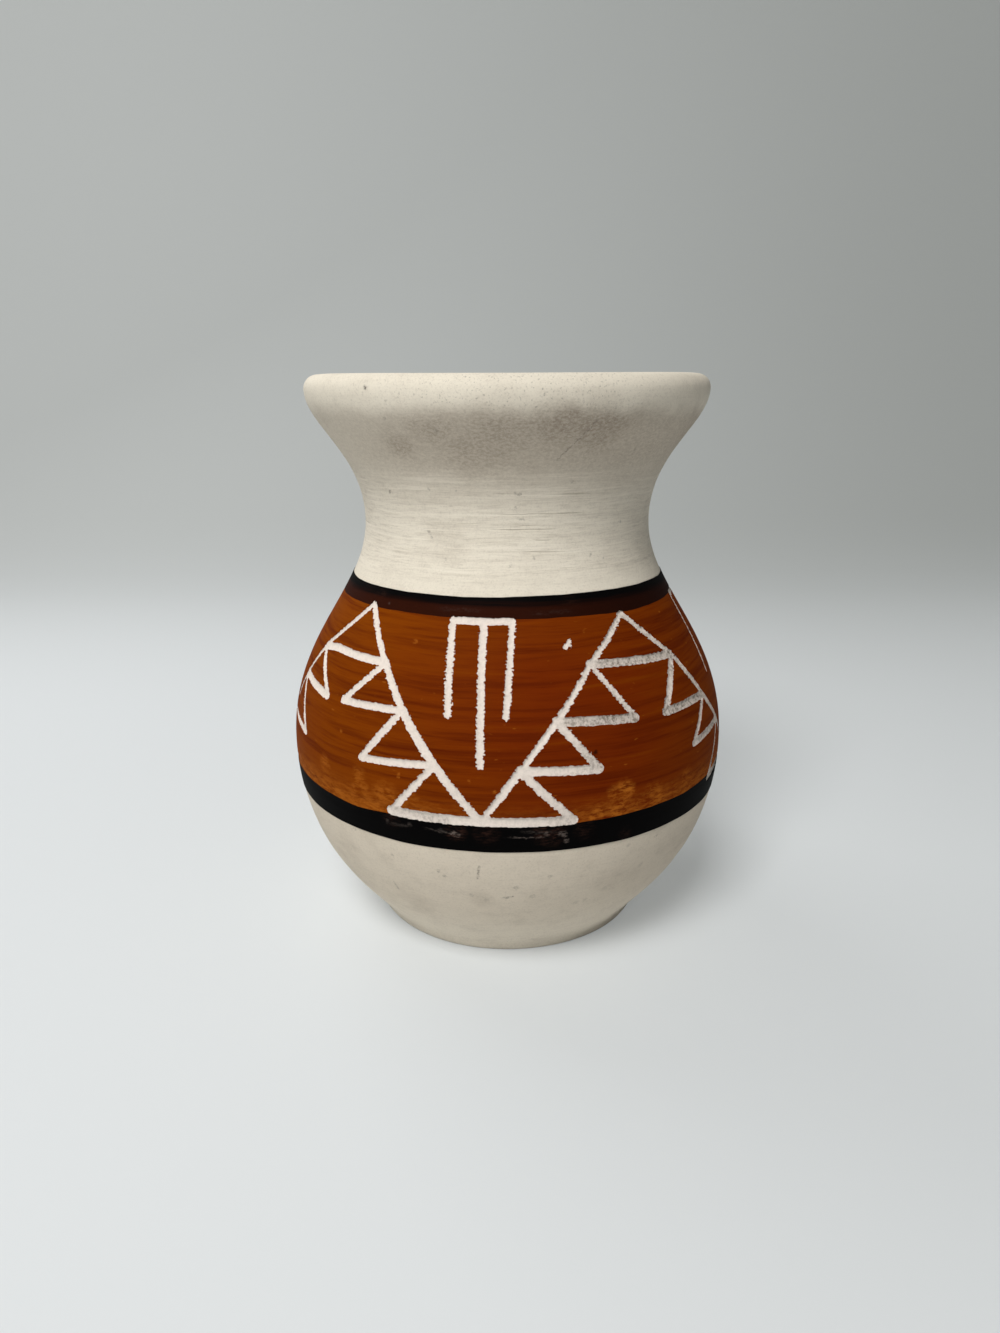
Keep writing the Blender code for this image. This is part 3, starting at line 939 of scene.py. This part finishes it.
coats = {
    "rust": {"thickness": 0.00011, "region": 2, "thinned": True},
    "upper": {"thickness": 0.00013, "region": 3, "thinned": False},
    "lower": {"thickness": 0.00014, "region": 1, "thinned": False},
    "sink": 0.00003,  # a coat reaches this far into the clay
    "shortest": 0.00012,  # an outline's edge under this is closed up
    "smallest": 1e-7,  # square metres; a loose bit under this has fallen off
    "parting": 0.1,  # bits that meet at a corner are drawn apart by this share
    "flatAngle": math.radians(0.5),  # faces of a thinned coat that turn less than this are joined
    "backAngle": math.radians(3.0),  # the same on the side against the clay
}


def dropCrumbs(bm):
    left = set(bm.faces)
    crumbs = set()
    while left:
        bit = [left.pop()]
        area = 0
        for face in bit:  # grows while it is walked
            around = {f for e in face.edges for f in e.link_faces} & left
            left -= around
            bit += around
            area += face.calc_area()
        if area < coats["smallest"]:
            crumbs.update(bit)
    bmesh.ops.delete(bm, geom=[f for f in bm.faces if f in crumbs], context="FACES")


def mendOutline(bm):  # closes up what the cut left too fine
    taken = set()
    short = []
    for edge in bm.edges:
        if edge.is_boundary and edge.calc_length() < coats["shortest"] and taken.isdisjoint(edge.verts):
            taken.update(edge.verts)
            short.append(edge)
    bmesh.ops.collapse(bm, edges=short)
    bmesh.ops.delete(bm, geom=[e for e in bm.edges if e.is_wire], context="EDGES")
    for vert in [v for v in bm.verts if not v.is_manifold]:
        for corner in bmesh.utils.vert_separate(vert, []):
            middles = [f.calc_center_median() for f in corner.link_faces]
            corner.co = corner.co.lerp(sum(middles, Vector()) / len(middles), coats["parting"])
    dropCrumbs(bm)


def thinBack(bm, made):
    back = {g for g in made if isinstance(g, bmesh.types.BMFace)}
    verts = [v for v in bm.verts if all(f in back for f in v.link_faces)]
    edges = [e for e in bm.edges if all(f in back for f in e.link_faces)]
    bmesh.ops.dissolve_limit(bm, angle_limit=coats["backAngle"], verts=verts, edges=edges)


def slipCoat(name, node, coat, material):
    bm = coatSkin.copy()
    region, scratched = regionOf(bm)
    dropped = [f for f, r, s in zip(bm.faces, region, scratched) if r != coat["region"] or s]
    bmesh.ops.delete(bm, geom=dropped, context="FACES")
    mendOutline(bm)
    if coat["thinned"]:
        angle = coats["flatAngle"]
        bmesh.ops.dissolve_limit(bm, angle_limit=angle, verts=bm.verts[:], edges=bm.edges[:])
    moveTo(bm, handThrown(coordsOf(bm), np.ones(len(bm.verts))))
    bm.normal_update()
    for vert in bm.verts:
        vert.co += vert.normal * coat["thickness"]
    bm.normal_update()
    shell = bmesh.ops.solidify(bm, geom=bm.faces[:], thickness=coat["thickness"] + coats["sink"])
    if coat["thinned"]:
        thinBack(bm, shell["geom"])
        bmesh.ops.triangulate(bm, faces=bm.faces[:], quad_method="BEAUTY", ngon_method="BEAUTY")
    dressPiece(meshObject(name, bm, sharpAngle=40), node, material)


rust = {
    "orange": rgb(127, 60, 2),
    "red": rgb(111, 39, 2),
    "deep": rgb(84, 24, 1),
    "worn": rgb(184, 106, 32),
    "nick": rgb(30, 10, 4),
    "roughness": 0.62,
    "litOrangeLeft": (0.014, -0.046),  # places across that orange fades in over, like the next
    "litOrangeRight": (0.022, 0.05),
    "orangeTop": (0.068, 0.08),  # heights
    "rubbed": (0.0065, 0.0002),  # above the black stripe
    "rubbedSides": (0.002, 0.022),
    "wornSpots": (
        (-49.7, 0.0467, 0.0028, 0.45), (-36.9, 0.0469, 0.003, 0.45), (-36.4, 0.0444, 0.0036, 0.5),
        (-29.1, 0.0439, 0.0048, 0.5), (-22.1, 0.0434, 0.0036, 0.35), (-25.5, 0.0493, 0.0008, 1.0),
        (26.8, 0.0455, 0.0034, 0.9), (24.3, 0.0454, 0.0026, 0.6), (19.7, 0.0415, 0.0032, 0.8),
        (25.5, 0.0414, 0.0044, 0.8), (35.4, 0.0414, 0.0055, 0.7), (47.3, 0.0422, 0.005, 0.5),
        (-44, 0.0551, 0.0008, 0.5), (-27, 0.0746, 0.0007, 0.5), (-27.6, 0.0647, 0.0007, 0.4),
        (-3.3, 0.0478, 0.0007, 0.6), (-8.8, 0.0499, 0.0006, 0.5),
    ),
    "nicks": ((19.6, 0.0545, 0.0008, 0.8),),
}


def rustFinish():
    material, shader, place = newFinish("rustSlip")
    across, height = place.axis(0), place.axis(2)
    loose = place.jittered(0.0014, 700)
    broad = place.noise(24, (1, 1, 1.8), 2.0)
    streaks = place.jittered(0.001, 60).noise(1, (24, 24, 640), 5.0, 0.65)
    fine = place.noise(1, (110, 110, 2400), 3.0, 0.55, (4, 0, 1))
    # painted light: more orange towards the lit left side and at the right edge, over the slip's own
    # broad shifts
    warmAndLit = 0.8 * across.step(*rust["litOrangeLeft"]) + 0.3 * height.step(*rust["orangeTop"])
    warmAndLit = warmAndLit + 0.5 * (broad - 0.5) + 0.6 * across.step(*rust["litOrangeRight"])
    colour = warmAndLit.blend(rust["red"], rust["orange"])
    colour = (streaks.step(0.46, 0.28) * 0.5).blend(colour, rust["orange"])
    darker = streaks.step(0.44, 0.66) * 0.62 + fine.step(0.48, 0.72) * 0.22
    colour = darker.blend(colour, rust["deep"])

    # thin and rubbed along the lower edge, with flecks all over
    patchy = place.jittered(0.0008, 600).noise(1, (330, 330, 1300), 6.0, 0.78)
    sides = across.maths("ABSOLUTE", across).step(*rust["rubbedSides"])
    rubbed = (height - lowerTop).step(*rust["rubbed"]) * patchy.step(0.34, 0.66)
    rubbed = rubbed * (0.24 + 0.44 * sides)
    spots = loose.marks(rust["wornSpots"]) * patchy.step(0.38, 0.62)
    flecks = place.noise(1, (420, 420, 1300), 1.0, 0.5, (6, 3, 3)).step(0.74, 0.82) * 0.3
    colour = rubbed.most(spots).most(flecks).blend(colour, rust["worn"])
    nick = loose.marks(rust["nicks"])
    colour = nick.blend(colour, rust["nick"])
    feed(shader, {
        "Base Color": colour,
        "Roughness": rust["roughness"] + 0.1 * fine,
        "Specular IOR Level": 0.012,
        "Normal": (streaks + fine * 0.6 - nick).bump(0.2, 0.0001),
    })
    return material


black = {
    "colour": rgb(4, 3, 3),
    "brown": rgb(45, 16, 5),
    "sheenSmear": rgb(78, 50, 40),
    "scuffAndSheen": rgb(158, 142, 132),
    "roughness": 0.58,
    "brownSoft": 0.001,  # the brown's upper edge fades over this to each side
    "brownWander": 0.0024,
    "brownShadeRight": (-0.01, 0.034),  # it halves across these
    "upper": {
        "brownShare": 0.6,  # how far up the stripe the rust shows through
        "sheenSmears": ((-46, 0.0815, 0.003, 0.2), (20, 0.0818, 0.003, 0.1)),
        "scuffs": ((-41, 0.0808, 0.0006, 0.15),),
        "streaks": (
            (-24, 0.0812, -6, 0.0811, 0.0007, 0.03), (4, 0.0806, 22, 0.0807, 0.0006, 0.03),
            (95, 0.0812, 130, 0.0813, 0.0007, 0.05), (-160, 0.0808, -120, 0.081, 0.0007, 0.05),
        ),
    },
    "lower": {
        "brownShare": 0,
        "sheenSmears": (
            (-12, 0.0389, 0.003, 0.55), (-5, 0.0391, 0.0036, 0.3), (9, 0.0389, 0.0046, 0.45),
            (17, 0.0386, 0.003, 0.25), (-28, 0.0394, 0.003, 0.25), (27.8, 0.0358, 0.0022, 0.2),
        ),
        "scuffs": (
            (-12.4, 0.0384, 0.0009, 0.6), (-11.5, 0.0383, 0.0008, 0.45), (12.3, 0.038, 0.001, 0.55),
            (12.9, 0.0366, 0.0008, 0.3), (11.4, 0.0384, 0.0008, 0.35), (8.3, 0.0386, 0.0008, 0.25),
            (-15.5, 0.0387, 0.0008, 0.2), (-28.7, 0.0386, 0.0008, 0.1), (-22.9, 0.0391, 0.0008, 0.12),
        ),
        "streaks": (
            (-1.6, 0.038, 9.5, 0.0378, 0.00028, 0.26), (-20, 0.0388, -9.5, 0.0383, 0.0004, 0.18),
            (1.5, 0.0393, 11.5, 0.0388, 0.0006, 0.1), (-29.5, 0.0382, -22, 0.0387, 0.0005, 0.08),
            (70, 0.0388, 98, 0.0386, 0.0005, 0.18), (150, 0.0383, 178, 0.0385, 0.00045, 0.18),
            (-140, 0.039, -115, 0.0388, 0.0005, 0.18),
        ),
    },
}


def blackFinish(name, bottom, top, wear):
    material, shader, place = newFinish(name)
    height = place.axis(2)
    loose = place.jittered(0.0009, 900)
    streaks = place.jittered(0.0008, 90).noise(1, (40, 40, 1100), 4.0, 0.6)
    ghost = place.noise(1, (480, 480, 2100), 6.0, 0.78, (1, 6, 3))
    crumbs = place.noise(1, (1100, 1100, 3600), 4.0, 0.72, (2, 2, 5)).step(0.4, 0.62)
    # painted sheen: soft highlight patches along the stripe
    sheenSmear = loose.marks(wear["sheenSmears"]) * ghost.step(0.44, 0.66)
    # scuffed specks, with the ring streaks as painted sheen
    scuffAndSheen = loose.marks(wear["scuffs"]).most(loose.rings(wear["streaks"])) * crumbs
    colour = sheenSmear.blend(black["colour"], black["sheenSmear"])
    if wear["brownShare"]:
        shown = bottom + wear["brownShare"] * (top - bottom)
        brown = height + black["brownWander"] * (streaks - 0.5)
        brown = brown.step(shown + black["brownSoft"], shown - black["brownSoft"])
        # painted shade: the brown halves towards the right side
        brown = brown * (1 - 0.5 * place.axis(0).step(*black["brownShadeRight"])) * (0.7 + 0.5 * ghost)
        colour = brown.blend(colour, black["brown"])
    colour = scuffAndSheen.blend(colour, black["scuffAndSheen"])
    feed(shader, {
        "Base Color": colour,
        "Roughness": black["roughness"] + 0.15 * streaks,
        "Specular IOR Level": 0.02,
        "Normal": (streaks - scuffAndSheen).bump(0.2, 0.0001),
    })
    return material


# Glaze on the inside

lining = {
    "clear": 0.00012,  # from the clay
    "thickness": 0.00045,
    "step": 0.0012,
    "columns": 200,
    "rings": (0.00012, (9, 9, 210)),
    "stillRadius": 0.001,  # no rings this close to the axis
    "colour": rgb(206, 196, 178),
    "pool": rgb(150, 120, 84),
    "poolTo": (0.008, 0.03),  # heights
}


def movedIn(line, distance):  # towards the hollow, with the axis kept
    points = np.array(line)
    along = np.gradient(points, axis=0)
    along /= np.hypot(*along.T)[:, None]
    moved = points + distance * np.stack([-along[:, 1], along[:, 0]], axis=1)
    moved[points[:, 0] == 0, 0] = 0
    return [tuple(p) for p in moved]


def glazeFinish():
    material, shader, place = newFinish("clearGlaze")
    height = place.axis(2)
    broad = place.noise(45, detail=3.0)
    pool = (1 - height.step(*lining["poolTo"])) * 0.6 + broad.step(0.5, 0.8) * 0.3
    feed(shader, {
        "Base Color": pool.blend(lining["colour"], lining["pool"]),
        "Roughness": 0.12 + 0.1 * broad,
        "Coat Weight": 0.6,
        "Coat Roughness": 0.06,
        "Normal": broad.bump(0.1, 0.0005),
    })
    return material


def glazeLining():
    wall = evenly(insideLine(), lining["step"])
    hollowSide = movedIn(wall, lining["clear"] + lining["thickness"])
    claySide = movedIn(wall, lining["clear"])
    bm = spunShape(hollowSide + claySide[::-1], lining["columns"])
    coords = coordsOf(bm)
    turn, radius, height = polarOf(coords)
    rings = np.abs(noiseAt(coords, *lining["rings"]))
    hollow = radius < np.interp(height, *np.array(movedIn(wall, lining["clear"] * 2)).T[::-1])
    ringed = hollow & (radius > lining["stillRadius"])
    coords = fromPolar(turn, np.where(ringed, radius - rings, radius), height)
    moveTo(bm, handThrown(coords, np.zeros(len(coords))))
    piece = meshObject("glaze_lining_poured", bm, sharpAngle=50)
    dressPiece(piece, "glaze_lining", glazeFinish())


clayBody()
slipCoat("rust_band_brushed", "rust_band", coats["rust"], rustFinish())
darkSlip = blackFinish("darkSlip", upperBottom, upperTop, black["upper"])
slipCoat("upper_stripe_brushed", "upper_stripe", coats["upper"], darkSlip)
blackSlip = blackFinish("blackSlip", lowerBottom, lowerTop, black["lower"])
slipCoat("lower_stripe_brushed", "lower_stripe", coats["lower"], blackSlip)
coatSkin.free()
glazeLining()


# Stage, light and camera

stage = {
    "width": 4.0,
    "front": -1.4,
    "back": 0.75,
    "sweep": 0.35,
    "height": 1.6,
    "floorColour": rgb(229, 232, 233),
    "backColour": rgb(196, 199, 199),
    "floorGlow": (rgb(222, 226, 226), rgb(203, 207, 205)),  # left and right
    "backGlow": (rgb(203, 206, 203), rgb(158, 161, 157)),
    "glowShares": (0.35, 0.6),  # floor and back
    "backFrom": (0.12, 0.6),
    "floorSides": (-0.25, 0.25),
    "backSides": (-0.55, 0.55),
}


def seenDirectly(place):  # 1 for what the camera, a reflection or a clear body shows
    rays = ("Is Camera Ray", "Is Glossy Ray", "Is Transmission Ray")
    return reduce(Link.most, [place.node("LightPath", {}, output=name) for name in rays])


def sweepStage():
    centre = (stage["back"] - stage["sweep"], stage["sweep"])
    line = [(stage["front"], 0.0)]
    line += roundLine(centre, stage["sweep"], -90, 0)
    line.append((stage["back"], stage["height"]))
    bm = drawnLine([(-stage["width"] / 2, y, z) for y, z in line])
    made = bmesh.ops.extrude_edge_only(bm, edges=bm.edges[:])["geom"]
    moved = [g for g in made if isinstance(g, bmesh.types.BMVert)]
    bmesh.ops.translate(bm, verts=moved, vec=(stage["width"], 0, 0))
    piece = meshObject("sweep", bm, sharpAngle=60)
    material, shader, place = newFinish("sweepPaper")
    back = (place.axis(1) + place.axis(2)).step(*stage["backFrom"])
    feed(shader, {
        "Base Color": back.blend(stage["floorColour"], stage["backColour"]),
        "Roughness": 0.9,
        "Specular IOR Level": 0.1,
    })
    floorShare, backShare = stage["glowShares"]
    floorGlow = place.axis(0).step(*stage["floorSides"]).blend(*stage["floorGlow"])
    backGlow = place.axis(0).step(*stage["backSides"]).blend(*stage["backGlow"])
    glow = place.node("Emission", {"Color": back.blend(floorGlow, backGlow)})
    share = seenDirectly(place) * (floorShare + (backShare - floorShare) * back)
    paper = Link(place.tree, shader.outputs[0])
    mixed = place.node("MixShader", {0: share, 1: paper, 2: glow})
    feed(place.tree.nodes["Material Output"], {"Surface": mixed})
    piece.data.materials.append(material)


lights = (  # name, place, aimed at, size, power, colour
    ("overheadKey", (-0.21, -0.54, 0.76), (0, 0, 0.07), 0.35, 7.0, (1.0, 1.0, 1.0)),
    ("backFill", (-0.32, 0.32, 0.46), (0, 0, 0.06), 0.4, 1.2, (1.0, 1.0, 1.0)),
)
world = {"light": (1, 1, 1, 1), "lightStrength": 0.08, "shown": rgb(186, 189, 190)}


def aimed(place, target):
    return (Vector(target) - Vector(place)).to_track_quat("-Z", "Y").to_matrix().to_4x4()


def lightScene():
    for name, place, target, size, power, colour in lights:
        lamp = bpy.data.lights.new(name, "AREA")
        lamp.size = size
        lamp.energy = power
        lamp.color = colour
        placed(name, lamp).matrix_world = Matrix.Translation(place) @ aimed(place, target)
    sky = bpy.data.worlds.new("softSky")
    sky.use_nodes = True
    tree = sky.node_tree
    soft = Link(tree, tree.nodes["Background"].outputs[0])
    feed(tree.nodes["Background"], {"Color": world["light"], "Strength": world["lightStrength"]})
    shown = soft.node("Background", {"Color": world["shown"]})
    mixed = soft.node("MixShader", {0: seenDirectly(soft), 1: soft, 2: shown})
    feed(tree.nodes["World Output"], {"Surface": mixed})
    scene.world = sky


view = {
    "place": (-0.0017, -0.2177, 0.12065),
    "downTilt": math.radians(15.88),
    "roll": math.radians(-0.216),
    "lens": 24.7,
    "sensor": 36.0,  # on the picture's long side
    "nearest": 0.01,
}


def placeCamera():
    data = bpy.data.cameras.new("camera")
    data.lens = view["lens"]
    data.sensor_width = view["sensor"]
    data.clip_start = view["nearest"]
    tilt = Matrix.Rotation(math.pi / 2 - view["downTilt"], 4, "X")
    roll = Matrix.Rotation(view["roll"], 4, "Z")
    scene.camera = placed("camera", data)
    scene.camera.matrix_world = Matrix.Translation(view["place"]) @ tilt @ roll


sweepStage()
lightScene()
placeCamera()
scene.view_settings.view_transform = "Standard"
print("stage, lights and camera set")
